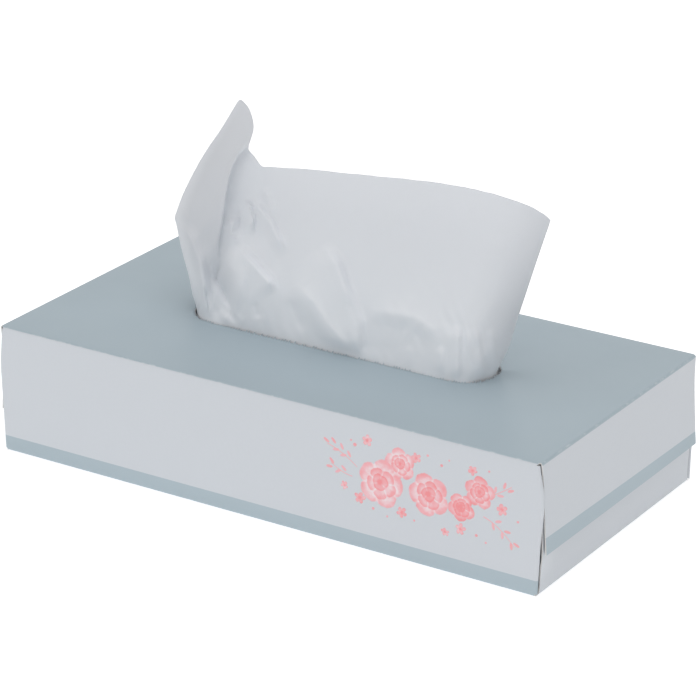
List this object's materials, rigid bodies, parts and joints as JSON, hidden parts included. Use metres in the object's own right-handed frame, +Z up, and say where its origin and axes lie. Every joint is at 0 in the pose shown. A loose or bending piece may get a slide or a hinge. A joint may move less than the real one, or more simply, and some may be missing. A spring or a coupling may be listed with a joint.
{
  "type": "tissue box",
  "caption": "Flat paperboard tissue box with an oval dispensing slot in the top, filled with an interfolded stack, its top sheet pulled up through the slot.",
  "frame": {"origin": "centre of the carton's underside, on the surface it stands on", "axes": "+X along the box's length, towards the end seen at the right of the picture; +Y across it, away from the printed front panel, which faces -Y; +Z up through the slot"},
  "size_m": [0.2344, 0.1156, 0.1363],
  "materials": {
    "printed_board": "satin",
    "stack_paper": "matte",
    "tissue_paper": "matte"
  },
  "bodies": {
    "root": {"carton": "printed_board", "tissue_stack": "stack_paper", "raised_tissue": "tissue_paper"}
  },
  "joints": []
}
